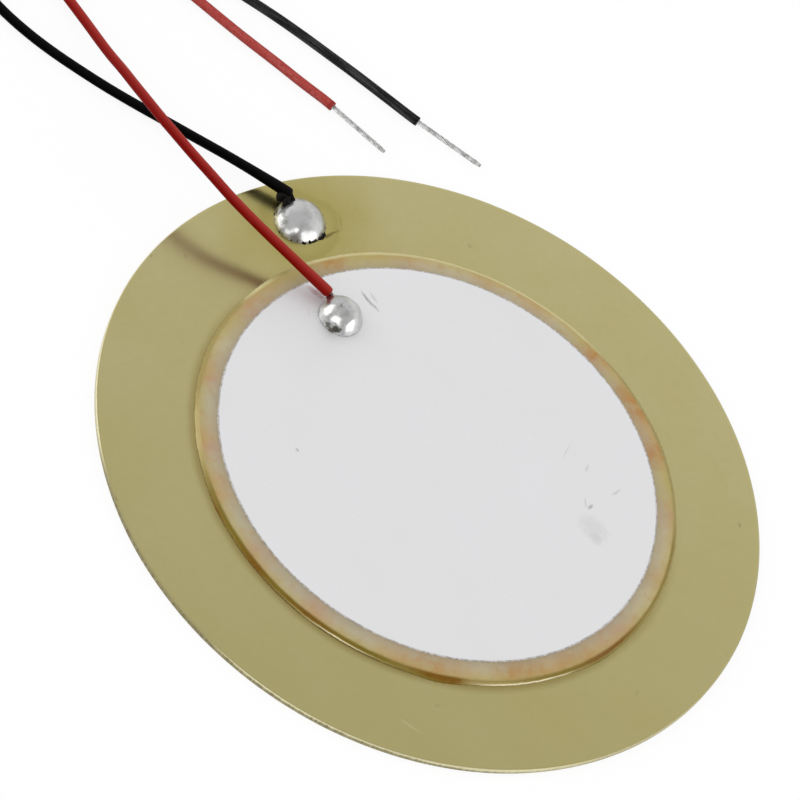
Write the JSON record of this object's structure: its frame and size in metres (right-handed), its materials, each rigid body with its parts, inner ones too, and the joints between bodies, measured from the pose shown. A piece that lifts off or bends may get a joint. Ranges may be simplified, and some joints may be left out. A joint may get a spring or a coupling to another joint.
{
  "type": "piezo disc",
  "caption": "Round brass-backed piezo disc with a bonded ceramic, a silver electrode, solder joints and a red and a black lead ending in tinned tips, wound into a small tied coil.",
  "frame": {"origin": "centre of the brass plate's back face, on the surface it lies on", "axes": "+Z out of the ceramic side; +Y towards the solder joints, where the leads leave"},
  "size_m": [0.035, 0.0614, 0.0034],
  "materials": {
    "brass": "satin rolled brass",
    "adhesive": "glossy amber adhesive",
    "silver": "matt printed silver",
    "ceramic": "matt mottled ceramic",
    "solder": "bright solder",
    "tinned_wire": "bright tinned strands",
    "black_insulation": "satin plastic insulation",
    "red_insulation": "satin plastic insulation",
    "tie": "matt plastic-covered tie"
  },
  "bodies": {
    "root": {"brass_plate": "brass", "adhesive": "adhesive", "lower_electrode": "silver", "ceramic_disc": "ceramic", "upper_electrode": "silver", "plate_solder": "solder", "electrode_solder": "solder", "black_core": "tinned_wire", "red_core": "tinned_wire", "black_lead": "black_insulation", "red_lead": "red_insulation", "lead_coil": "red_insulation", "coil_tie": "tie", "black_lead_end": "black_insulation", "red_lead_end": "red_insulation", "black_tip": "tinned_wire", "red_tip": "tinned_wire"}
  },
  "joints": []
}
